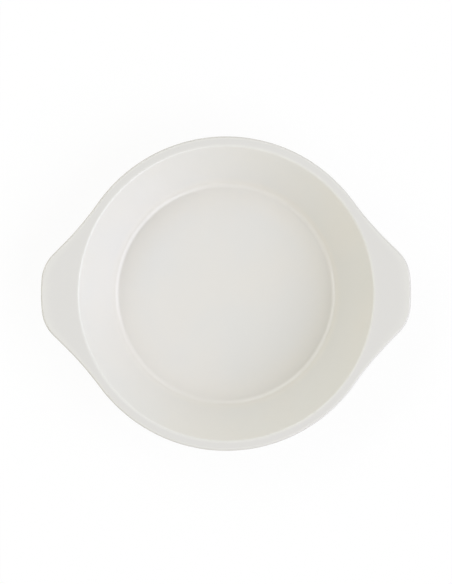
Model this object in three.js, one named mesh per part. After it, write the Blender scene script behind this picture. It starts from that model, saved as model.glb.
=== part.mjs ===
// A round gratin dish with two flat ears: one fired stoneware body under a fired glaze.
// Millimetres, +Z up. The origin is on the table under the middle of the dish, and +X runs from ear to ear.
import * as THREE from "three";
import { mergeVertices } from "three/addons/utils/BufferGeometryUtils.js";

// Sizes of the finished dish, over its glaze.
const RIM_DIAMETER = 240; // across the plain rim
const RIM_WIDTH = 7.5; // flat top of the rim, from the edge of the mouth to the outside
const RIM_THICKNESS = 5; // rim and ears
const EDGE_ROUND = 1.5; // upper and lower corners of the edge of the rim and ears
const HEIGHT = 48; // from the table to the flat top of the rim
const FLOOR_DIAMETER = 172; // inside, where the line of the wall meets the floor
const FLOOR_THICKNESS = 5.5;
const WALL_THICKNESS = 5; // square to the slope of the wall
const FLOOR_FILLET = 6; // hollow corner between floor and wall
const MOUTH_ROUND = 2; // edge between wall and rim
const ROOT_FILLET = 3; // under the rim, where it leaves the wall
const HEEL_ROUND = 11; // outside, between wall and underside

// Two ears, each a tongue of the rim with straight flanks.
const EAR_REACH = 21.25; // past the plain rim
const EAR_CORNER = 30; // radius of the two outer corners
const EAR_FLANK_ANGLE = 45; // degrees between a flank's normal and the line through both ears
const EAR_FLANK_INSET = 4.8; // how far inside the rim's circle the line of a flank passes
const EAR_BLEND = 250; // radius of the hollow curve that leads a flank into the rim

// The foot ring, wiped bare of glaze where it stands.
const FOOT_DIAMETER = 160; // outside of the bare clay
const FOOT_WIDTH = 5;
const FOOT_HEIGHT = 3.5; // from the table to the glazed underside
const FOOT_FILLET = 1.2; // glazed hollow corners beside the ring
const FOOT_ROUND = 0.8; // bare edges of the standing face
const BARE_HEIGHT = 1.4; // from the table to where the glaze stops

const GLAZE_THICKNESS = 0.4;
const FACET_ERROR = 0.15; // how far a flat facet may lie from the true curve
const TINY = 1e-4; // lengths below this count as nothing

const GLAZE_FINISH = { color: 0xe1e0dc, roughness: 0.22, metalness: 0 };
const STONEWARE_FINISH = { color: 0xd9d2c4, roughness: 0.9, metalness: 0 };

const rimRadius = RIM_DIAMETER / 2;
const mouthRadius = rimRadius - RIM_WIDTH;
const floorHeight = FOOT_HEIGHT + FLOOR_THICKNESS;
const footRadius = FOOT_DIAMETER / 2;
const footBore = footRadius - FOOT_WIDTH;

// A path through sharp corners, each rounded by its own radius. Where two rounds would meet, both give way.
function roundedPath(corners) {
  const points = corners.map(([x, y]) => new THREE.Vector2(x, y));
  const radii = corners.map(([, , radius = 0]) => radius);
  const legs = points.slice(1).map((point, i) => point.clone().sub(points[i]));
  const turns = radii.map((radius, i) =>
    radius ? Math.atan2(legs[i - 1].cross(legs[i]), legs[i - 1].dot(legs[i])) : 0,
  );
  const setbacks = radii.map((radius, i) => radius * Math.abs(Math.tan(turns[i] / 2)));
  const room = legs.map((leg, i) => Math.min(1, leg.length() / Math.max(setbacks[i] + setbacks[i + 1], TINY)));
  const path = new THREE.Path();
  path.moveTo(points[0].x, points[0].y);
  for (let i = 1; i < points.length; i++) {
    if (!radii[i]) {
      path.lineTo(points[i].x, points[i].y);
      continue;
    }
    const share = Math.min(room[i - 1], room[i]);
    const radius = radii[i] * share;
    const before = legs[i - 1].clone().normalize();
    const outward = new THREE.Vector2(before.y, -before.x).multiplyScalar(Math.sign(turns[i]));
    const start = points[i].clone().addScaledVector(before, -setbacks[i] * share);
    const centre = start.clone().addScaledVector(outward, -radius);
    const from = outward.angle();
    path.lineTo(start.x, start.y);
    path.absarc(centre.x, centre.y, radius, from, from + turns[i], turns[i] < 0);
  }
  return path;
}

// Stations along a path, each a point with the unit normal on its left: the ends of every line, and even steps round
// every arc.
function stationsOf(path) {
  const stations = [];
  for (const curve of path.curves) {
    const length = curve.getLength();
    if (length < TINY) continue;
    const arc = curve.isEllipseCurve ? length / curve.xRadius : 0;
    const widest = arc ? 2 * Math.acos(1 - Math.min(1, FACET_ERROR / curve.xRadius)) : 1;
    const steps = Math.max(1, Math.ceil(arc / widest - TINY));
    for (let i = 0; i <= steps; i++) {
      const point = curve.getPoint(i / steps);
      const along = curve.getTangent(i / steps);
      if (stations.length && point.distanceTo(stations.at(-1).point) < TINY) continue;
      stations.push({ point, normal: new THREE.Vector2(-along.y, along.x) });
    }
  }
  return stations;
}

// The plan: a quarter of the outline from the middle of an ear to the middle of the plain rim, tangent all the way.
function quarterOutline() {
  const flank = THREE.MathUtils.degToRad(EAR_FLANK_ANGLE);
  const flankDistance = rimRadius - EAR_FLANK_INSET;
  const tipRadius = rimRadius + EAR_REACH;
  const cornerRing = tipRadius - EAR_CORNER;
  const cornerAngle = flank - Math.acos((flankDistance - EAR_CORNER) / cornerRing);
  const blendRing = rimRadius + EAR_BLEND;
  const blendAngle = flank - Math.acos((flankDistance + EAR_BLEND) / blendRing);
  const outline = new THREE.Path();
  const arc = (ring, angle, radius, from, to, clockwise) =>
    outline.absarc(ring * Math.cos(angle), ring * Math.sin(angle), radius, from, to, clockwise);
  arc(0, 0, tipRadius, 0, cornerAngle, false);
  arc(cornerRing, cornerAngle, EAR_CORNER, cornerAngle, flank, false);
  arc(blendRing, blendAngle, EAR_BLEND, flank + Math.PI, blendAngle + Math.PI, true);
  arc(0, 0, rimRadius, blendAngle, Math.PI / 2, false);
  return stationsOf(outline).map(({ point, normal }) => ({ point, normal: normal.negate() }));
}

// The outline all the way round. Each column of the dish stands on one of its points: the rim's round edge follows the
// outline's own normal there, and everything inside the edge turns about the dish's axis.
function planColumns() {
  const flipped = (v) => new THREE.Vector2(-v.x, v.y);
  const turned = (v) => v.clone().negate();
  const quarter = quarterOutline();
  const mirrored = quarter
    .slice(0, -1)
    .reverse()
    .map(({ point, normal }) => ({ point: flipped(point), normal: flipped(normal) }));
  const half = [...quarter, ...mirrored.slice(0, -1)];
  const other = half.map(({ point, normal }) => ({ point: turned(point), normal: turned(normal) }));
  return [...half, ...other].map(({ point, normal }) => {
    const insideEdge = point.clone().addScaledVector(normal, -EDGE_ROUND);
    return { point, normal, spoke: insideEdge.normalize() };
  });
}

// One ring of the dish: a station of the section carried round the plan, sunk into the dish by a depth.
function ringAt(station, depth, columns) {
  const radius = station.point.x - station.normal.x * depth;
  const z = station.point.y - station.normal.y * depth;
  if (station.point.x < TINY) return [new THREE.Vector3(0, 0, z)];
  const onEdge = station.point.x > rimRadius - EDGE_ROUND - TINY;
  return columns.map(({ point, normal, spoke }) => {
    const flat = onEdge
      ? point.clone().addScaledVector(normal, radius - rimRadius)
      : spoke.clone().multiplyScalar(radius);
    return new THREE.Vector3(flat.x, flat.y, z);
  });
}

// Triangles through a run of rings, facing left of the run. A ring of one point is a pole on the axis.
function skin(rings) {
  const triangles = [];
  for (let k = 1; k < rings.length; k++) {
    const [inner, outer] = [rings[k - 1], rings[k]];
    const count = Math.max(inner.length, outer.length);
    for (let i = 0; i < count; i++) {
      const next = (i + 1) % count;
      const [a, b] = inner.length > 1 ? [inner[i], inner[next]] : [inner[0], inner[0]];
      const [c, d] = outer.length > 1 ? [outer[i], outer[next]] : [outer[0], outer[0]];
      if (c !== d) triangles.push([a, c, d]);
      if (a !== b) triangles.push([a, d, b]);
    }
  }
  return triangles;
}

const reversed = (triangles) => triangles.map(([a, b, c]) => [a, c, b]);

// One closed solid from the skins that bound it.
function solid(name, finish, ...skins) {
  const positions = skins.flat().flatMap((triangle) => triangle.flatMap((v) => [v.x, v.y, v.z]));
  const soup = new THREE.BufferGeometry();
  soup.setAttribute("position", new THREE.Float32BufferAttribute(positions, 3));
  const geometry = mergeVertices(soup);
  geometry.computeVertexNormals();
  const mesh = new THREE.Mesh(geometry, new THREE.MeshStandardMaterial(finish));
  mesh.name = name;
  return mesh;
}

// The section of the finished dish: out along the floor, up the wall, over the rim, down the outside and in under it,
// as far as the glaze goes on the outside of the foot ring.
function glazedSection() {
  const slope = new THREE.Vector2(mouthRadius - FLOOR_DIAMETER / 2, HEIGHT - floorHeight).normalize();
  const outsideFoot = new THREE.Vector2(FLOOR_DIAMETER / 2, floorHeight).addScaledVector(
    new THREE.Vector2(slope.y, -slope.x),
    WALL_THICKNESS,
  );
  const outsideAt = (z) => outsideFoot.x + ((z - outsideFoot.y) * slope.x) / slope.y;
  const underRim = HEIGHT - RIM_THICKNESS;
  return roundedPath([
    [0, floorHeight],
    [FLOOR_DIAMETER / 2, floorHeight, FLOOR_FILLET],
    [mouthRadius, HEIGHT, MOUTH_ROUND],
    [rimRadius, HEIGHT, EDGE_ROUND],
    [rimRadius, underRim, EDGE_ROUND],
    [outsideAt(underRim), underRim, ROOT_FILLET],
    [outsideAt(FOOT_HEIGHT), FOOT_HEIGHT, HEEL_ROUND],
    [footRadius + GLAZE_THICKNESS, FOOT_HEIGHT, FOOT_FILLET],
    [footRadius + GLAZE_THICKNESS, BARE_HEIGHT],
  ]);
}

// The bare foot ring, from glaze to glaze across its standing face.
function bareFootSection() {
  return roundedPath([
    [footRadius, BARE_HEIGHT],
    [footRadius, 0, FOOT_ROUND],
    [footBore, 0, FOOT_ROUND],
    [footBore, BARE_HEIGHT],
  ]);
}

// The glazed hollow inside the foot ring.
function baseSection() {
  return roundedPath([
    [footBore - GLAZE_THICKNESS, BARE_HEIGHT],
    [footBore - GLAZE_THICKNESS, FOOT_HEIGHT, FOOT_FILLET],
    [0, FOOT_HEIGHT],
  ]);
}

const columns = planColumns();
const ringsOf = (path, depth) => stationsOf(path).map((station) => ringAt(station, depth, columns));

// The stoneware lies one glaze thickness under the finished surface. The skin where they meet bounds both solids.
const coatFace = ringsOf(glazedSection(), 0);
const bodyUnderCoat = ringsOf(glazedSection(), GLAZE_THICKNESS);
const baseFace = ringsOf(baseSection(), 0);
const bodyUnderBase = ringsOf(baseSection(), GLAZE_THICKNESS);
const bareFoot = [bodyUnderCoat.at(-1), ...ringsOf(bareFootSection(), 0).slice(1, -1), bodyUnderBase[0]];
const coatBond = skin(bodyUnderCoat);
const baseBond = skin(bodyUnderBase);

const dish = new THREE.Group();
dish.name = "gratin_dish";
dish.add(
  solid("stoneware_body", STONEWARE_FINISH, coatBond, skin(bareFoot), baseBond),
  solid(
    "glaze_coat",
    GLAZE_FINISH,
    skin(coatFace),
    skin([coatFace.at(-1), bodyUnderCoat.at(-1)]),
    reversed(coatBond),
  ),
  solid(
    "base_glaze",
    GLAZE_FINISH,
    skin(baseFace),
    skin([bodyUnderBase[0], baseFace[0]]),
    reversed(baseBond),
  ),
);

export default dish;
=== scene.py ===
# %% [markdown]
# # A round gratin dish with two ears
#
# The real dish is one piece of pressed stoneware, dipped in a pale glaze, wiped bare under its foot and
# fired. Nothing on it moves. The packed model already holds its three bodies: the clay, the coat of
# glaze, and the patch of glaze under the floor. They are faceted, as solids for measuring are. This
# lesson lays fine smooth skins over the same sizes, gives them the slight unevenness of fired ware, and
# then turns to the finish, the light and the camera.

# %% Load the packed model
import math
from collections import namedtuple

import bpy
from mathutils import Matrix, Vector, noise


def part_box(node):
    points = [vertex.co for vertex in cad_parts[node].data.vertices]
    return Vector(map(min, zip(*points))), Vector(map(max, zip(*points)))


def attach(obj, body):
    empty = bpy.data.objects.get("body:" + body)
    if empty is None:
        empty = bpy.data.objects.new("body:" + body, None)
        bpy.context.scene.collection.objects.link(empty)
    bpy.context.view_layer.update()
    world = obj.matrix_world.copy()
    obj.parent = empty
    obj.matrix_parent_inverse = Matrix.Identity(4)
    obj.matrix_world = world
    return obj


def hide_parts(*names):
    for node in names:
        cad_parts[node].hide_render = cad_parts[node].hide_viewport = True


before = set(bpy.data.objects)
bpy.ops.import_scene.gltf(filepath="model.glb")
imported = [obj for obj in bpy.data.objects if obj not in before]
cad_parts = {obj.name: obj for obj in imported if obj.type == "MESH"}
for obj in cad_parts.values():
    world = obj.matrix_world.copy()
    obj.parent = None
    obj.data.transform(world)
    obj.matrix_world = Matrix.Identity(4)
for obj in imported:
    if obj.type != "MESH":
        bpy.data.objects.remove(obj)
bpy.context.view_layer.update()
print("CAD nodes:", ", ".join(sorted(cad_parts)))

# %% [markdown]
# ## Sizes
#
# The rim, the reach of the ears and the height are read from the packed model, so that the looks can't
# drift away from it. The smaller sizes can't be read from a node's box, so they repeat the ones it was
# made with. A potter would keep them on two templates, one for the profile and one for the plan.

# %% Sizes read from the model
MM = 0.001
far_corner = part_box("glaze_coat")[1]
RIM_RADIUS = far_corner.y
EAR_TIP_RADIUS = far_corner.x
HEIGHT = far_corner.z
main_sizes = {"rim": 2 * RIM_RADIUS, "over the ears": 2 * EAR_TIP_RADIUS, "height": HEIGHT}
print({name: f"{size / MM:.1f} mm" for name, size in main_sizes.items()})

# %% Sizes of the profile
RIM_WIDTH = 7.5 * MM
RIM_THICKNESS = 5 * MM
WALL_THICKNESS = 5 * MM
FLOOR_THICKNESS = 5.5 * MM
FLOOR_RADIUS = 86 * MM
FOOT_RADIUS = 80 * MM
FOOT_WIDTH = 5 * MM
FOOT_HEIGHT = 3.5 * MM
BARE_HEIGHT = 1.4 * MM
GLAZE_THICKNESS = 0.4 * MM
MOUTH_RADIUS = RIM_RADIUS - RIM_WIDTH
UNDER_RIM = HEIGHT - RIM_THICKNESS
FLOOR_HEIGHT = FOOT_HEIGHT + FLOOR_THICKNESS
FOOT_BORE = FOOT_RADIUS - FOOT_WIDTH
print(f"mouth {2 * MOUTH_RADIUS / MM:.1f} mm wide, {(HEIGHT - FLOOR_HEIGHT) / MM:.1f} mm deep")

# %% [markdown]
# ## Rounding a profile
#
# Cut through its middle, the dish is a thin folded band. The band could be drawn as a curve and turned
# with a Screw modifier, but the rim leaves the circle at the ears, so each point has to be worked out on
# its own. A profile is therefore a list of sharp corners, each with the radius that rounds it. On it, x
# runs out from the axis and y runs up. Walking along it gives stations: a point, the direction that faces
# out of the dish, and how the surface bends there, which later says where the glaze runs thin. Steps crowd
# together beside each rounding, so that smooth shading stays true on the flats. The flat of the rim gets
# more of them than its width needs, because the ears will stretch it.

# %% Turning in a plane


def left_of(direction):
    """A direction after a quarter turn to the left."""
    return Vector((-direction.y, direction.x))


def turned(vector, angle):
    """A vector turned to the left by an angle."""
    cosine = math.cos(angle)
    sine = math.sin(angle)
    return Vector((vector.x * cosine - vector.y * sine, vector.x * sine + vector.y * cosine))


print("left of +X is", tuple(left_of(Vector((1, 0)))))

# %% Straight runs
LEG_STEP = 3 * MM
LEAST_LEG_STEPS = 2
EAR_STEPS = 8
SAME_PLACE = 1e-7
Station = namedtuple("Station", "point normal bend")


def crowded(share, start, end):
    """How far along a leg a share of its steps leads. They are short at an end that meets a rounding."""
    if start.x < SAME_PLACE:
        return math.sin(share * math.pi / 2)
    if end.x < SAME_PLACE:
        return 1 - math.cos(share * math.pi / 2)
    return (1 - math.cos(share * math.pi)) / 2


def straight_run(start, end):
    """Stations along a straight leg."""
    on_rim = min(start.y, end.y) > UNDER_RIM - SAME_PLACE
    least = EAR_STEPS if on_rim else LEAST_LEG_STEPS
    steps = max(least, math.ceil((end - start).length / LEG_STEP))
    facing = left_of((end - start).normalized())
    for step in range(steps + 1):
        yield Station(start.lerp(end, crowded(step / steps, start, end)), facing, 0.0)


across_floor = straight_run(Vector((0, FLOOR_HEIGHT)), Vector((FLOOR_RADIUS, FLOOR_HEIGHT)))
print("stations from the middle of the floor to the wall:", len(list(across_floor)))

# %% Round runs
ARC_STEP = math.radians(8)
LEAST_ARC_STEPS = 3


def round_run(start, along, turn, radius):
    """Stations round an arc. Its bend is positive on an outer corner and negative in a hollow one."""
    steps = max(LEAST_ARC_STEPS, math.ceil(abs(turn) / ARC_STEP))
    hollow = math.copysign(1, turn)
    facing = left_of(along)
    centre = start + facing * radius * hollow
    for step in range(steps + 1):
        angle = turn * step / steps
        yield Station(centre + turned(start - centre, angle), turned(facing, angle), -hollow / radius)


print("steps in a quarter turn:", math.ceil(math.pi / 2 / ARC_STEP))

# %% Walking along a profile, first round the bare foot
FOOT_ROUND = 0.8 * MM
Corner = namedtuple("Corner", "out up rounding", defaults=[0])


def profile(corners):
    """Stations from the first corner to the last, rounding those between them."""
    points = [Vector((corner.out, corner.up)) for corner in corners]
    found = []
    leg_start = points[0]
    for i in range(1, len(points)):
        radius = corners[i].rounding
        along = (points[i] - points[i - 1]).normalized()
        after = (points[i + 1] - points[i]).normalized() if radius else along
        turn = math.atan2(along.cross(after), along.dot(after))
        setback = radius * math.tan(abs(turn) / 2)
        leg_end = points[i] - along * setback
        if (leg_end - leg_start).length > SAME_PLACE:
            found += straight_run(leg_start, leg_end)
        if radius:
            found += round_run(leg_end, along, turn, radius)
        leg_start = points[i] + after * setback
    neighbours = zip(found, found[1:])
    return found[:1] + [b for a, b in neighbours if (b.point - a.point).length > SAME_PLACE]


bare_foot_profile = profile([
    Corner(FOOT_RADIUS, BARE_HEIGHT),
    Corner(FOOT_RADIUS, 0, FOOT_ROUND),
    Corner(FOOT_BORE, 0, FOOT_ROUND),
    Corner(FOOT_BORE, BARE_HEIGHT),
])
print("stations on the bare foot:", len(bare_foot_profile))

# %% Slope of the wall
slope = Vector((MOUTH_RADIUS - FLOOR_RADIUS, HEIGHT - FLOOR_HEIGHT)).normalized()
outside_start = Vector((FLOOR_RADIUS, FLOOR_HEIGHT)) - left_of(slope) * WALL_THICKNESS


def outside_at(height):
    """Radius of the outside of the wall at a height."""
    return outside_start.x + (height - outside_start.y) * slope.x / slope.y


print(f"the wall leans out {math.degrees(math.atan2(slope.x, slope.y)):.1f} degrees from upright")

# %% Profiles of the two glazed faces
EDGE_ROUND = 1.5 * MM
MOUTH_ROUND = 2 * MM
FLOOR_FILLET = 6 * MM
ROOT_FILLET = 3 * MM
HEEL_ROUND = 11 * MM
FOOT_FILLET = 1.2 * MM
coat_profile = profile([
    Corner(0, FLOOR_HEIGHT),
    Corner(FLOOR_RADIUS, FLOOR_HEIGHT, FLOOR_FILLET),
    Corner(MOUTH_RADIUS, HEIGHT, MOUTH_ROUND),
    Corner(RIM_RADIUS, HEIGHT, EDGE_ROUND),
    Corner(RIM_RADIUS, UNDER_RIM, EDGE_ROUND),
    Corner(outside_at(UNDER_RIM), UNDER_RIM, ROOT_FILLET),
    Corner(outside_at(FOOT_HEIGHT), FOOT_HEIGHT, HEEL_ROUND),
    Corner(FOOT_RADIUS + GLAZE_THICKNESS, FOOT_HEIGHT, FOOT_FILLET),
    Corner(FOOT_RADIUS + GLAZE_THICKNESS, BARE_HEIGHT + GLAZE_THICKNESS),
])
base_profile = profile([
    Corner(FOOT_BORE - GLAZE_THICKNESS, BARE_HEIGHT + GLAZE_THICKNESS),
    Corner(FOOT_BORE - GLAZE_THICKNESS, FOOT_HEIGHT, FOOT_FILLET),
    Corner(0, FOOT_HEIGHT),
])
print("stations on the coat and on the base:", len(coat_profile), len(base_profile))

# %% [markdown]
# ## The plan
#
# Seen from above, each ear is a tongue of the rim. Its tip is an arc about the middle of the dish, two
# round corners lead to straight flanks, and a long hollow curve takes each flank back into the rim. The
# outline could be traced as a spline, but all its stretches are tangent, so a quarter of it can be
# worked out from a few radii and mirrored. Each point of the outline carries its own outward normal,
# which the round edge of the rim follows, and the spoke along which the bowl below it turns.

# %% Where the arcs of an ear meet
EAR_CORNER = 30 * MM
EAR_FLANK_ANGLE = math.radians(45)
EAR_FLANK_INSET = 4.8 * MM
EAR_BLEND = 250 * MM
flank_distance = RIM_RADIUS - EAR_FLANK_INSET
corner_ring = EAR_TIP_RADIUS - EAR_CORNER
corner_angle = EAR_FLANK_ANGLE - math.acos((flank_distance - EAR_CORNER) / corner_ring)
blend_ring = RIM_RADIUS + EAR_BLEND
blend_angle = EAR_FLANK_ANGLE - math.acos((flank_distance + EAR_BLEND) / blend_ring)
print(f"tip to {math.degrees(corner_angle):.1f}, rim from {math.degrees(blend_angle):.1f} degrees")

# %% A quarter of the outline
TIP_STEPS = 5
CORNER_STEPS = 12
FLANK_STEPS = 3
BLEND_STEPS = 13
RIM_STEPS = 30


def heading(angle):
    """The direction at an angle from +X."""
    return Vector((math.cos(angle), math.sin(angle)))


def plan_arc(centre, radius, first, last, steps, hollow=False):
    """Points round an arc, each with its outward normal."""
    for step in range(steps + 1):
        out = heading(first + (last - first) * step / steps)
        yield centre + out * radius, -out if hollow else out


def quarter_outline():
    """The outline from the middle of an ear's tip to the middle of the plain rim."""
    middle = Vector((0, 0))
    corner_centre = heading(corner_angle) * corner_ring
    blend_centre = heading(blend_angle) * blend_ring
    from_flank = EAR_FLANK_ANGLE + math.pi
    to_rim = blend_angle + math.pi
    tip = list(plan_arc(middle, EAR_TIP_RADIUS, 0, corner_angle, TIP_STEPS))
    corner = list(plan_arc(corner_centre, EAR_CORNER, corner_angle, EAR_FLANK_ANGLE, CORNER_STEPS))
    blend = list(plan_arc(blend_centre, EAR_BLEND, from_flank, to_rim, BLEND_STEPS, hollow=True))
    rim = list(plan_arc(middle, RIM_RADIUS, blend_angle, math.pi / 2, RIM_STEPS))
    flank_start = corner[-1][0]
    flank_end = blend[0][0]
    flank = [
        (flank_start.lerp(flank_end, step / FLANK_STEPS), heading(EAR_FLANK_ANGLE))
        for step in range(1, FLANK_STEPS)
    ]
    return tip + corner[1:] + flank + blend + rim[1:]


quarter = quarter_outline()
print("points on a quarter of the outline:", len(quarter))

# %% Columns round the whole outline
Column = namedtuple("Column", "point normal spoke")


def column_on(point, normal):
    """A point of the outline with its normal and the spoke that ends behind the round edge."""
    return Column(point, normal, (point - normal * EDGE_ROUND).normalized())


mirror_x = Vector((-1, 1))
second_quarter = [(point * mirror_x, normal * mirror_x) for point, normal in reversed(quarter[1:-1])]
half = quarter + second_quarter
outline = half + [(-point, -normal) for point, normal in half]
columns = [column_on(point, normal) for point, normal in outline]
print("columns:", len(columns))

# %% [markdown]
# ## Unevenness of fired ware
#
# A glaze melts and settles, so it never lies quite flat: it swells and sinks by a few hundredths of a
# millimetre over a couple of centimetres, and this is what makes reflections on pottery wander. It pulls
# away from sharp outer corners and pools in hollow ones. And where the foot was wiped, its lower edge
# wavers. These could be bump maps, but they are real shapes, so they go into the mesh.

# %% Swells of the surface
SWELL_SIZE = 34 * MM
SWELL_HEIGHT = 0.07 * MM
RIPPLE_SIZE = 11 * MM
RIPPLE_HEIGHT = 0.022 * MM
RIPPLE_SHIFT = Vector((7, 3, 5))


def clamped(value, low=0.0, high=1.0):
    """A value kept between two limits."""
    return min(high, max(low, value))


def swell(place):
    """How far the surface stands out at a point. It dies away at the foot, which is ground flat."""
    broad = noise.noise(place / SWELL_SIZE) * SWELL_HEIGHT
    fine = noise.noise(place / RIPPLE_SIZE + RIPPLE_SHIFT) * RIPPLE_HEIGHT
    return (broad + fine) * clamped(place.z / FOOT_HEIGHT)


print(f"swell at the tip of an ear: {swell(Vector((EAR_TIP_RADIUS, 0, HEIGHT))) / MM:.3f} mm")

# %% The wiped edge
WIPE_WAVE = 21 * MM
WIPE_WAVER = 0.35 * MM


def wiped_shift(place):
    """How far the glaze line near a point of the foot is moved up or down."""
    below = clamped(place.z / BARE_HEIGHT)
    above = clamped((FOOT_HEIGHT - place.z) / (FOOT_HEIGHT - BARE_HEIGHT - GLAZE_THICKNESS))
    waver = noise.noise(Vector((place.x, place.y, 0)) / WIPE_WAVE) * WIPE_WAVER
    return waver * min(below, above)


below_ear = Vector((FOOT_RADIUS, 0, BARE_HEIGHT))
print(f"glaze line below that ear moved by {wiped_shift(below_ear) / MM:.3f} mm")

# %% Depth of the glaze
LEAST_GLAZE = 0.24 * MM
MOST_GLAZE = 0.55 * MM
GLAZE_SPREAD = 1 * MM
POOLING = 0.25 * MM * MM  # depth lost over a corner, times its radius


def runs_of(stations):
    """The length of profile that each station stands for."""
    gaps = [(b.point - a.point).length for a, b in zip(stations, stations[1:])]
    return [(before + after) / 2 for before, after in zip([0, *gaps], [*gaps, 0])]


def glaze_depths(stations):
    """Depth of glaze at each station: thinner over outer corners and thicker in hollow ones."""
    runs = runs_of(stations)
    depths = []
    for here in stations:
        pull = 0.0
        total = 0.0
        for there, run in zip(stations, runs):
            gap = (there.point - here.point).length / GLAZE_SPREAD
            weight = run * math.exp(-0.5 * gap * gap)
            pull += weight * there.bend
            total += weight
        depths.append(clamped(GLAZE_THICKNESS - POOLING * pull / total, LEAST_GLAZE, MOST_GLAZE))
    return depths


coat_depths = glaze_depths(coat_profile)
base_depths = glaze_depths(base_profile)
print(f"glaze from {min(coat_depths) / MM:.2f} to {max(coat_depths) / MM:.2f} mm thick")

# %% [markdown]
# ## From stations to rings
#
# A station carried round all the columns is one ring of points. Inside the rim it turns about the axis.
# On the round edge it follows the outline. The rim and the ears could be two meshes that are joined, but
# a seam would show in the reflections. So across the flat of the rim the rings pass gradually from the
# one to the other, which also spreads the mesh evenly over the ears. A narrow border beside the mouth is
# left out of this, so that the glaze is as thin there on the ears as on the plain rim.

# %% How far a ring follows the outline
EDGE_START = RIM_RADIUS - EDGE_ROUND
BORDER = 2 * MM


def reach_of(point):
    """0 where the dish turns about its axis, 1 where it follows the outline of the rim."""
    if point.y < UNDER_RIM - SAME_PLACE:
        return 0.0
    on_top = point.y > HEIGHT - EDGE_ROUND
    inner = (MOUTH_RADIUS if on_top else outside_at(UNDER_RIM)) + BORDER
    return clamped((point.x - inner) / (EDGE_START - inner))


reaches = [reach_of(station.point) for station in coat_profile]
print("stations that follow the outline all the way:", reaches.count(1.0), "of", len(reaches))

# %% Points of a ring


def place_on(column, station, reach, depth):
    """Where a station lies on a column, sunk into the dish by a depth."""
    turning = column.spoke * station.point.x
    following = column.point + column.normal * (station.point.x - RIM_RADIUS)
    flat = turning.lerp(following, reach)
    side = column.spoke.lerp(column.normal, reach).normalized() * station.normal.x
    facing = Vector((side.x, side.y, station.normal.y))
    place = Vector((flat.x, flat.y, station.point.y))
    place += facing * (swell(place) - depth)
    if place.z < FOOT_HEIGHT:
        place.z += wiped_shift(place)
    return place


def ring(station, depth=0.0):
    """A station's point on every column, or its one point where it lies on the axis."""
    reach = reach_of(station.point)
    on_axis = station.point.x < SAME_PLACE
    carried_by = columns[:1] if on_axis else columns
    return [place_on(column, station, reach, depth) for column in carried_by]


clay_under_coat = [ring(station, depth) for station, depth in zip(coat_profile, coat_depths)]
clay_under_base = [ring(station, depth) for station, depth in zip(base_profile, base_depths)]
bare_foot = [ring(station) for station in bare_foot_profile]
print("rings of the clay:", len(clay_under_coat), len(bare_foot), len(clay_under_base))

# %% Rings of the glaze, with its rolled edge
BEAD_STEPS = 5
NO_SWELL = Vector((0, 0))


def bead(first, last):
    """Rings of the rolled edge where the glaze stops, from the full coat down to nothing on the clay."""
    rings = []
    for step in range(1, BEAD_STEPS):
        angle = math.pi / 2 * step / BEAD_STEPS
        out = last.x + (first.x - last.x) * math.cos(angle)
        up = first.y + (last.y - first.y) * math.sin(angle)
        rings.append(ring(Station(Vector((out, up)), NO_SWELL, 0.0)))
    return rings


coat_face = [ring(station) for station in coat_profile]
coat_face += bead(coat_profile[-1].point, bare_foot_profile[0].point)
base_face = bead(base_profile[0].point, bare_foot_profile[-1].point)[::-1]
base_face += [ring(station) for station in base_profile]
print("rings of the glaze:", len(coat_face), len(base_face))

# %% [markdown]
# ## Three bodies from the rings
#
# Each body is a run of rings that starts and ends on the axis. The glaze could be a Solidify modifier on
# the clay, but then it would be equally thick everywhere. So one function skins all three bodies: quads
# between neighbouring rings and a fan at each end. The clay and the glaze use the same rings where they
# meet, so they touch all over without cutting into each other. The depth of glaze is stored on its points
# for its finish to read.

# %% Skinning a run of rings
CREASE_ANGLE = math.radians(48)


def strip(inner, outer):
    """Faces between two rings of point numbers. A ring of one point gives a fan of triangles."""
    faces = []
    for here in range(len(columns)):
        after = (here + 1) % len(columns)
        corners = [
            inner[here % len(inner)],
            outer[here % len(outer)],
            outer[after % len(outer)],
            inner[after % len(inner)],
        ]
        faces.append(list(dict.fromkeys(corners)))
    return faces


def add_object(name, data):
    """A new object in the scene."""
    made = bpy.data.objects.new(name, data)
    bpy.context.scene.collection.objects.link(made)
    return made


def body(name, rings):
    """A smooth closed mesh over a run of rings, which rides on the dish."""
    points = [point for one_ring in rings for point in one_ring]
    numbers = iter(range(len(points)))
    numbered = [[next(numbers) for _ in one_ring] for one_ring in rings]
    faces = [face for inner, outer in zip(numbered, numbered[1:]) for face in strip(inner, outer)]
    mesh = bpy.data.meshes.new(name)
    mesh.from_pydata(points, [], faces)
    mesh.polygons.foreach_set("use_smooth", [True] * len(mesh.polygons))
    mesh.set_sharp_from_angle(angle=CREASE_ANGLE)
    made = add_object(name, mesh)
    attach(made, "root")
    print(f"{name}: {len(points)} points, {len(faces)} faces")
    return made


glaze_line = bare_foot[0]
base_line = bare_foot[-1]
coat_rings = coat_face + [glaze_line] + clay_under_coat[::-1]
base_rings = clay_under_base[::-1] + [base_line] + base_face
coat = body("glazed_coat", coat_rings)
clay = body("fired_clay", clay_under_coat + bare_foot + clay_under_base)
base_patch = body("glazed_base", base_rings)

# %% Depth of glaze on the points


def store_depths(piece, rings, depths):
    """Write each ring's depth of glaze on its points, as a share of the usual depth."""
    shares = [depth / GLAZE_THICKNESS for depth, one_ring in zip(depths, rings) for _ in one_ring]
    piece.data.attributes.new("glaze_depth", "FLOAT", "POINT").data.foreach_set("value", shares)
    print(f"{piece.name}: depth from {min(shares):.2f} to {max(shares):.2f} of the usual one")


rolled_edge = [LEAST_GLAZE] * BEAD_STEPS
store_depths(coat, coat_rings, coat_depths + rolled_edge + coat_depths[::-1])
store_depths(base_patch, base_rings, base_depths[::-1] + rolled_edge + base_depths)

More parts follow.
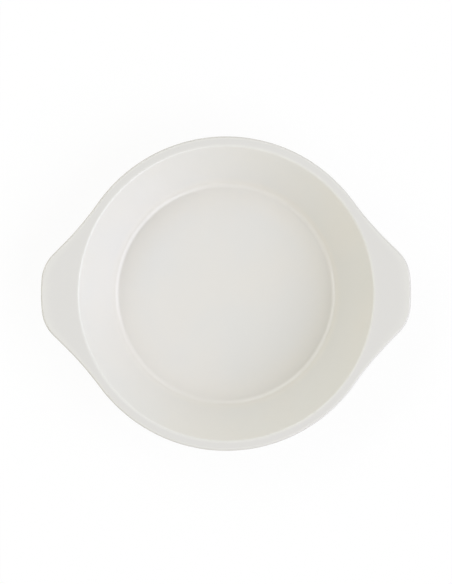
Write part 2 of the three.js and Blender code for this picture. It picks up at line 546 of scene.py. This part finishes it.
# %% Hiding the CAD node that each body stands for
for piece, node, slot in (
    (coat, "glaze_coat", "glaze"),
    (clay, "stoneware_body", "stoneware"),
    (base_patch, "base_glaze", "glaze"),
):
    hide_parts(node)
    print(f"{piece.name} stands for {node}, with the finish {slot}")

# %% [markdown]
# ## Writing shaders as sums
#
# A finish is easier to read as arithmetic than as a web of nodes. The class below wraps one output of a
# node, and Python's operators on it add Math nodes. Everything else, such as a noise or a Mix node,
# comes from its one method `node`, which sets the node up and joins its inputs.

# %% Shader values that can be added and multiplied


class Shade:
    """One output socket in a node tree."""

    def __init__(self, tree, socket=None):
        self.tree = tree
        self.socket = socket

    def node(self, kind, settings=None, inputs=None, out=0):
        """One output of a new node, after its settings and the values or links of its inputs are made."""
        made = self.tree.nodes.new(kind)
        for name, value in (settings or {}).items():
            setattr(made, name, value)
        for key, value in (inputs or {}).items():
            if isinstance(value, Shade):
                self.tree.links.new(value.socket, made.inputs[key])
            else:
                made.inputs[key].default_value = value
        return Shade(self.tree, made.outputs[out] if made.outputs else None)

    def math(self, operation, *values):
        return self.node("ShaderNodeMath", {"operation": operation}, dict(enumerate(values)))

    def __add__(self, other):
        return self.math("ADD", self, other)

    def __sub__(self, other):
        return self.math("SUBTRACT", self, other)

    def __rsub__(self, other):
        return self.math("SUBTRACT", other, self)

    def __mul__(self, other):
        return self.math("MULTIPLY", self, other)

    __radd__ = __add__
    __rmul__ = __mul__

    def eased(self, low, high):
        """0 below low, 1 above high, a smooth step between. A low above high runs the other way."""
        return self.node(
            "ShaderNodeMapRange",
            {"interpolation_type": "SMOOTHSTEP"},
            {"Value": self, "From Min": low, "From Max": high},
        )

    def mix(self, first, second):
        """From the first colour to the second, by this value."""
        return self.node(
            "ShaderNodeMix",
            {"data_type": "RGBA"},
            {"Factor": self, 6: first, 7: second},
            out=2,
        )


print("a Shade has:", ", ".join(name for name in vars(Shade) if not name.startswith("_")))

# %% [markdown]
# ## The glaze
#
# The glaze is a warm white glass, opaque with fine crystals. Close to, its tone isn't even. It drifts a
# little where it was dipped thicker or thinner, and on the flat of the rim it is a shade greyer. It has
# run down the wall and lies deeper at the wall's foot, where a creamier, lighter tone is also painted
# on as warm light thrown back from the bright wall. Where it has pulled thin over the edge of the mouth,
# a paler line is painted on as a highlight. On the sharper outer edge the clay shines through, and the
# darker line there is partly painted shade. Tiny bubbles have burst in it and left pinholes, and its
# skin is a faint orange peel. Painting these on an image would tie them to one dish, so each is a line
# or two of sums.

# %% Where the glaze has pinholes
# A pair of numbers says where a mask starts and where it is full
BUBBLE_SPACING = 7 * MM
BUBBLE_EDGE = (0.034, 0.018)
BUBBLE_PATCH = 9 * MM
IN_PATCH = (0.60, 0.66)


def noise_at(place, size, detail=2.0):
    """Soft noise whose blotches are about as wide as size, in metres. Its middle value is 0.5."""
    return place.node("ShaderNodeTexNoise", None, {"Vector": place, "Scale": 1 / size, "Detail": detail})


def cells_at(place, spacing):
    """How far the nearest of many scattered points is, as a share of their spacing in metres."""
    inputs = {"Vector": place, "Scale": 1 / spacing, "Randomness": 1.0}
    return place.node("ShaderNodeTexVoronoi", None, inputs, out="Distance")


def pinholes_at(place):
    """1 in a pinhole and 0 beside it. They come in patches."""
    chosen = noise_at(place, BUBBLE_PATCH).eased(*IN_PATCH)
    return cells_at(place, BUBBLE_SPACING).eased(*BUBBLE_EDGE) * chosen


print(f"pinholes up to {2 * BUBBLE_EDGE[0] * BUBBLE_SPACING / MM:.2f} mm wide")

# %% Where the glaze pools and bounce light is painted
POOL_AND_BOUNCE_SIDE = (0.72 * FLOOR_RADIUS, 0.93 * FLOOR_RADIUS)
POOL_AND_BOUNCE_TOP = (FLOOR_HEIGHT + 9 * MM, FLOOR_HEIGHT + 1 * MM)
ABOVE_BASE = (FLOOR_HEIGHT - 3 * MM, FLOOR_HEIGHT - 1 * MM)


def part_of(vector, axis):
    """One coordinate of a vector."""
    return vector.node("ShaderNodeSeparateXYZ", None, {"Vector": vector}, out=axis)


def length_of(vector):
    """The length of a vector."""
    return vector.node("ShaderNodeVectorMath", {"operation": "LENGTH"}, {0: vector}, out="Value")


def pool_and_bounce_light_at(place, height):
    """1 at the foot of the wall inside the dish, where the glaze lies deep and warm bounce light is
    painted.
    """
    return length_of(place).eased(*POOL_AND_BOUNCE_SIDE) * height.eased(*POOL_AND_BOUNCE_TOP) * height.eased(*ABOVE_BASE)


print(f"pool from {POOL_AND_BOUNCE_SIDE[0] / MM:.0f} mm out, up to a height of {POOL_AND_BOUNCE_TOP[0] / MM:.0f} mm")

# %% Tones that are laid over the plain glaze
Layer = namedtuple("Layer", "tone least gain")
# Deeper glaze at the foot of the wall, lightened and warmed by painted bounce light
POOLED_AND_BOUNCE_LIGHT = Layer(tone=(0.835, 0.807, 0.754, 1), least=0.4, gain=0.5)
# A painted highlight along edges where the glaze runs thin
PAINTED_EDGE_HIGHLIGHT = Layer(tone=(0.83, 0.818, 0.785, 1), least=0.35, gain=0.5)
# Clay showing through the thinnest glaze, partly painted shade along the outer edge
CLAY_AND_EDGE_SHADE = Layer(tone=(0.635, 0.62, 0.592, 1), least=0.35, gain=0.7)


def laid_over(tone, layer, where, grain):
    """A layer's tone over another, where a mask says, broken up by the grain."""
    return (where * (layer.least + layer.gain * grain)).mix(tone, layer.tone)


# The pooled tone includes painted bounce light, the pale one is a painted highlight, and the over-clay one
# is partly painted shade
for name, layer in (("pooled", POOLED_AND_BOUNCE_LIGHT), ("pale", PAINTED_EDGE_HIGHLIGHT), ("over clay", CLAY_AND_EDGE_SHADE)):
    print(f"{name} tone shows by {layer.least:.2f} to {layer.least + layer.gain:.2f}")

# %% Tones of the glaze
GLAZE_WHITE = (0.806, 0.785, 0.748, 1)
GLAZE_COOL = (0.79, 0.779, 0.753, 1)
GLAZE_ON_RIM = (0.766, 0.753, 0.733, 1)
PINHOLE_TONE = (0.46, 0.40, 0.32, 1)
PINHOLE_SHARE = 0.7
CLOUD_SIZE = 60 * MM
CLOUD_EDGE = (0.35, 0.68)
RIM_TOP = (HEIGHT - 1.2 * MM, HEIGHT - 0.2 * MM)
PAINTED_HIGHLIGHT_DEPTH = (0.97, 0.8)
CLAY_AND_EDGE_SHADE_DEPTH = (0.82, 0.72)


def glaze_tone(place, grain, pinhole):
    """The colour of the glaze at a place, with painted light and shade laid into it."""
    height = part_of(place, "Z")
    depth = place.node("ShaderNodeAttribute", {"attribute_name": "glaze_depth"}, out="Fac")
    clouds = noise_at(place, CLOUD_SIZE, detail=3.0).eased(*CLOUD_EDGE)
    tone = clouds.mix(GLAZE_WHITE, GLAZE_COOL)
    tone = height.eased(*RIM_TOP).mix(tone, GLAZE_ON_RIM)
    # Deeper glaze with painted warm bounce light at the foot of the wall
    tone = laid_over(tone, POOLED_AND_BOUNCE_LIGHT, pool_and_bounce_light_at(place, height), grain)
    # A painted highlight where the glaze runs thin
    tone = laid_over(tone, PAINTED_EDGE_HIGHLIGHT, depth.eased(*PAINTED_HIGHLIGHT_DEPTH), grain)
    # Clay through the thinnest glaze, partly painted shade on the outer edge
    tone = laid_over(tone, CLAY_AND_EDGE_SHADE, depth.eased(*CLAY_AND_EDGE_SHADE_DEPTH), grain)
    return (pinhole * PINHOLE_SHARE).mix(tone, PINHOLE_TONE)


print(f"the clay shows through glaze under {CLAY_AND_EDGE_SHADE_DEPTH[0] * GLAZE_THICKNESS / MM:.2f} mm")

# %% Finish of the glaze
GRAIN_SIZE = 5 * MM
SHEEN_SIZE = 26 * MM
PEEL_SIZE = 2.6 * MM
PEEL_HEIGHT = 0.25 * MM
PEEL_STRENGTH = 0.10
FINE_PEEL = 0.6
COARSE_PEEL = 0.4
PINHOLE_DEPTH = 0.8
LEAST_ROUGHNESS = 0.09
SHEEN_DRIFT = 0.09
PINHOLE_ROUGHNESS = 0.3
GLAZE_IOR = 1.56


def new_tree(owner):
    """The empty node tree of a material or a world."""
    owner.use_nodes = True
    owner.node_tree.nodes.clear()
    return Shade(owner.node_tree)


def show(shader, output="ShaderNodeOutputMaterial"):
    """Join a shader to the output of its tree."""
    shader.node(output, None, {"Surface": shader})


def glaze_finish(name):
    """A glossy glaze with pinholes and orange peel."""
    finish = bpy.data.materials.new(name)
    start = new_tree(finish)
    place = start.node("ShaderNodeTexCoord", out="Object")
    grain = noise_at(place, GRAIN_SIZE, detail=3.0)
    pinhole = pinholes_at(place)
    sheen = noise_at(place, SHEEN_SIZE, detail=4.0)
    peel = noise_at(place, PEEL_SIZE) * FINE_PEEL + grain * COARSE_PEEL - PINHOLE_DEPTH * pinhole
    bump = {"Strength": PEEL_STRENGTH, "Distance": PEEL_HEIGHT, "Height": peel}
    show(start.node("ShaderNodeBsdfPrincipled", None, {
        "Base Color": glaze_tone(place, grain, pinhole),
        "Roughness": LEAST_ROUGHNESS + SHEEN_DRIFT * sheen + PINHOLE_ROUGHNESS * pinhole,
        "IOR": GLAZE_IOR,
        "Normal": start.node("ShaderNodeBump", None, bump),
    }))
    return finish


cream_glaze = glaze_finish("cream_glaze")
coat.data.materials.append(cream_glaze)
base_patch.data.materials.append(cream_glaze)
print("glaze finish:", len(cream_glaze.node_tree.nodes), "nodes")

# %% [markdown]
# ## The bare clay
#
# Only the foot ring shows its clay. Fired stoneware is a buff, matt, slightly sandy body with darker
# grains of iron, and the standing face is rubbed a little smoother and greyer by shelves and tables. The
# grains could be scattered as small meshes, but they are part of the clay, so they are cells of a
# pattern, as the pinholes are.

# %% Tones of the clay
CLAY_BUFF = (0.60, 0.51, 0.40, 1)
CLAY_PALE = (0.71, 0.64, 0.54, 1)
CLAY_RUBBED = (0.52, 0.46, 0.39, 1)
IRON_GRAIN = (0.20, 0.13, 0.08, 1)
MOTTLE_SIZE = 14 * MM
MOTTLE_EDGE = (0.3, 0.7)
IRON_SPACING = 2.4 * MM
IRON_EDGE = (0.16, 0.08)
IRON_PATCH = 5 * MM
IN_IRON_PATCH = (0.52, 0.60)
RUBBED_SHARE = 0.6
IRON_SHARE = 0.8


def clay_tone(place, rubbed):
    """The colour of the clay at a place."""
    mottle = noise_at(place, MOTTLE_SIZE, detail=4.0).eased(*MOTTLE_EDGE)
    chosen = noise_at(place, IRON_PATCH).eased(*IN_IRON_PATCH)
    iron = cells_at(place, IRON_SPACING).eased(*IRON_EDGE) * chosen
    tone = mottle.mix(CLAY_BUFF, CLAY_PALE)
    tone = (rubbed * RUBBED_SHARE).mix(tone, CLAY_RUBBED)
    return (iron * IRON_SHARE).mix(tone, IRON_GRAIN)


print(f"grains of iron up to {2 * IRON_EDGE[0] * IRON_SPACING / MM:.2f} mm wide")

# %% Finish of the clay
STANDING_FACE = (0.25 * MM, 0.02 * MM)
RUB_PATCH = 9 * MM
RUB_EDGE = (0.35, 0.6)
MATT_ROUGHNESS = 0.93
RUBBED_SMOOTHER = 0.22
CLAY_SPECULAR = 0.3
SAND_SIZE = 0.7 * MM
SAND_HEIGHT = 0.2 * MM
SAND_STRENGTH = 0.5


def clay_finish(name):
    """Bare clay, rubbed where it stands on the table."""
    finish = bpy.data.materials.new(name)
    start = new_tree(finish)
    place = start.node("ShaderNodeTexCoord", out="Object")
    standing = part_of(place, "Z").eased(*STANDING_FACE)
    rubbed = standing * noise_at(place, RUB_PATCH, detail=3.0).eased(*RUB_EDGE)
    bump = {"Strength": SAND_STRENGTH, "Distance": SAND_HEIGHT, "Height": noise_at(place, SAND_SIZE)}
    show(start.node("ShaderNodeBsdfPrincipled", None, {
        "Base Color": clay_tone(place, rubbed),
        "Roughness": MATT_ROUGHNESS - RUBBED_SMOOTHER * rubbed,
        "Specular IOR Level": CLAY_SPECULAR,
        "Normal": start.node("ShaderNodeBump", None, bump),
    }))
    return finish


bare_clay = clay_finish("bare_stoneware")
clay.data.materials.append(bare_clay)
print("clay finish:", len(bare_clay.node_tree.nodes), "nodes")

# %% [markdown]
# ## The table
#
# The dish stands on a plain white table. A plain square would do from above, but then nothing could be
# seen from below. So the table is clear from behind, and it has a round opening that the foot ring
# covers, which lets light reach the glaze inside the ring. To the camera the table is white, with a soft
# shadow beside the dish that fades with distance. To the light it is an ordinary grey surface that
# throws some of it back under the rim.

# %% A white table
TABLE_RADIUS = 3.0
TABLE_OPENING = FOOT_RADIUS - FOOT_ROUND
TABLE_SIDES = 128
table_points = []
for radius in (TABLE_OPENING, TABLE_RADIUS):
    for side in range(TABLE_SIDES):
        corner = heading(2 * math.pi * side / TABLE_SIDES) * radius
        table_points.append((corner.x, corner.y, 0))
table_faces = []
for side in range(TABLE_SIDES):
    after = (side + 1) % TABLE_SIDES
    table_faces.append((side, TABLE_SIDES + side, TABLE_SIDES + after, after))
table_mesh = bpy.data.meshes.new("table")
table_mesh.from_pydata(table_points, [], table_faces)
table = add_object("table", table_mesh)
print("table:", 2 * TABLE_RADIUS, "m across")

# %% Finish of the table
SHADOW_SHARE = 0.09
SHADOW_FADE = (0.32, 0.15)
TABLE_GREY = (0.7, 0.7, 0.7, 1)
WHITE = (1, 1, 1, 1)


def ray_is(start, kind):
    """1 on rays of a kind, such as Camera, and 0 on others."""
    return start.node("ShaderNodeLightPath", out=f"Is {kind} Ray")


def looking(start):
    """1 on rays that look at the backdrop, straight or mirrored, and 0 on those that only carry light."""
    return ray_is(start, "Camera") + ray_is(start, "Glossy") + ray_is(start, "Transmission")


def table_finish(name):
    """White to look at, grey to the light, and clear to a camera below the table."""
    finish = bpy.data.materials.new(name)
    start = new_tree(finish)
    away = length_of(start.node("ShaderNodeTexCoord", out="Object"))
    shadow = SHADOW_SHARE * away.eased(*SHADOW_FADE)
    from_below = ray_is(start, "Camera") * start.node("ShaderNodeNewGeometry", out="Backfacing")
    grey = start.node("ShaderNodeBsdfDiffuse", None, {"Color": TABLE_GREY})
    pale = start.node("ShaderNodeBsdfDiffuse", None, {"Color": WHITE})
    white = start.node("ShaderNodeEmission", None, {"Color": WHITE, "Strength": 1.0})
    clear = start.node("ShaderNodeBsdfTransparent")
    lit = start.node("ShaderNodeMixShader", None, {0: looking(start), 1: grey, 2: pale})
    shown = start.node("ShaderNodeMixShader", None, {0: looking(start) * (1 - shadow), 1: lit, 2: white})
    show(start.node("ShaderNodeMixShader", None, {0: from_below, 1: shown, 2: clear}))
    return finish


table_white = table_finish("table_white")
table_mesh.materials.append(table_white)
print("table finish:", len(table_white.node_tree.nodes), "nodes")

# %% [markdown]
# ## Light
#
# The wall across from the main lamp is the brightest, so the lamp stands on the right, a little towards
# the bottom of the picture, and half way up. A long narrow one stands across from it: it is seen only as
# a second thin line of light in the hollow between floor and wall. Flat surfaces mirror the dark ceiling
# round the camera and look matt, while the hollow mirrors the bright sides of the room. So the
# surroundings are a gradient, dim straight up and bright from there down to the horizon. They are warmer
# on the left, which gives the shaded wall across from there its cream glow. One plain colour for the
# room would be simpler, but it would make the rim as yellow as that wall.

# %% The room
ROOM_SIDES = 0.732
HORIZON = 0.24
CEILING = 0.05
ROOM_WARM = (0.85, 0.82, 0.655, 1)
ROOM_COOL = (0.98, 0.995, 0.95, 1)
LEFT_TO_RIGHT = (-0.6, 0.6)
OVERHEAD = (0.86, 0.96)
LOW_DOWN = (0.45, 0.1)
room = bpy.data.worlds.new("room")
bpy.context.scene.world = room
room_tree = new_tree(room)
toward = room_tree.node("ShaderNodeTexCoord", out="Generated")
upward = part_of(toward, "Z")
tone = part_of(toward, "X").eased(*LEFT_TO_RIGHT).mix(ROOM_WARM, ROOM_COOL)
brightness = 1 - (1 - CEILING) * upward.eased(*OVERHEAD)
glow = (brightness + HORIZON * upward.eased(*LOW_DOWN)) * ROOM_SIDES
surroundings = room_tree.node("ShaderNodeBackground", None, {"Color": tone, "Strength": glow})
backdrop = room_tree.node("ShaderNodeBackground", None, {"Color": WHITE, "Strength": brightness})
seen = room_tree.node("ShaderNodeMixShader", None, {0: looking(room_tree), 1: surroundings, 2: backdrop})
show(seen, "ShaderNodeOutputWorld")
print("room:", ROOM_SIDES, "at the sides,", round(ROOM_SIDES * CEILING, 3), "overhead")

# %% The lamps
Lamp = namedtuple("Lamp", "name azimuth elevation distance width height watts tint")
MAIN_LAMP = Lamp(
    name="main_lamp",
    azimuth=math.radians(-28),
    elevation=math.radians(42),
    distance=4.0,
    width=4.8,
    height=3.2,
    watts=99,
    tint=(0.845, 0.857, 1.0),
)
FAR_LAMP = Lamp(
    name="far_lamp",
    azimuth=math.radians(147),
    elevation=math.radians(46),
    distance=2.0,
    width=3.2,
    height=0.75,
    watts=14.5,
    tint=(0.904, 0.932, 1.0),
)


def hang(lamp):
    """Hang a soft lamp that faces the dish."""
    light = bpy.data.lights.new(lamp.name, "AREA")
    light.shape = "RECTANGLE"
    light.size = lamp.width
    light.size_y = lamp.height
    light.energy = lamp.watts
    light.color = lamp.tint
    hung = add_object(lamp.name, light)
    flat = heading(lamp.azimuth) * math.cos(lamp.elevation)
    way = Vector((flat.x, flat.y, math.sin(lamp.elevation)))
    hung.location = way * lamp.distance + Vector((0, 0, HEIGHT / 2))
    hung.rotation_euler = way.to_track_quat("Z", "Y").to_euler()
    hung.visible_camera = False
    print(lamp.name, "at", [round(value, 2) for value in hung.location])


hang(MAIN_LAMP)
hang(FAR_LAMP)

# %% [markdown]
# ## Camera
#
# The photograph looks straight down from a little over a metre. The floor of the dish sits slightly off
# the middle of the rim, so the camera stood slightly to the left of the axis. The lens could be found by
# trying, but it follows from the picture: it is 452 pixels wide, and the rim's radius takes up 157.5 of
# them.

# %% Camera over the dish
IMAGE_WIDTH = 452
RIM_PIXELS = 157.46
CAMERA_OFFSET = Vector((-28 * MM, -3 * MM, 1100 * MM))
SENSOR_WIDTH = 36
pixel = RIM_RADIUS / RIM_PIXELS
camera_data = bpy.data.cameras.new("overhead_camera")
camera_data.sensor_fit = "HORIZONTAL"
camera_data.sensor_width = SENSOR_WIDTH
camera_data.lens = SENSOR_WIDTH * (CAMERA_OFFSET.length / pixel) / IMAGE_WIDTH
camera = add_object("overhead_camera", camera_data)
bpy.context.scene.camera = camera
bpy.context.scene.view_settings.view_transform = "Standard"
print(f"lens {camera_data.lens:.1f} mm")

# %% Aim of the camera
AIM_RIGHT_PIXELS = -0.65
AIM_UP_PIXELS = 1.6
CAMERA_ROLL = math.radians(0.54)
aim = Vector((AIM_RIGHT_PIXELS * pixel, AIM_UP_PIXELS * pixel, HEIGHT))
picture_up = Vector((math.sin(CAMERA_ROLL), math.cos(CAMERA_ROLL), 0))
back = CAMERA_OFFSET.normalized()
right = picture_up.cross(back).normalized()
up = back.cross(right)
turn = Matrix((right, up, back)).transposed().to_4x4()
camera.matrix_world = Matrix.Translation(aim + CAMERA_OFFSET) @ turn
print("camera at", [round(value, 3) for value in camera.matrix_world.translation])
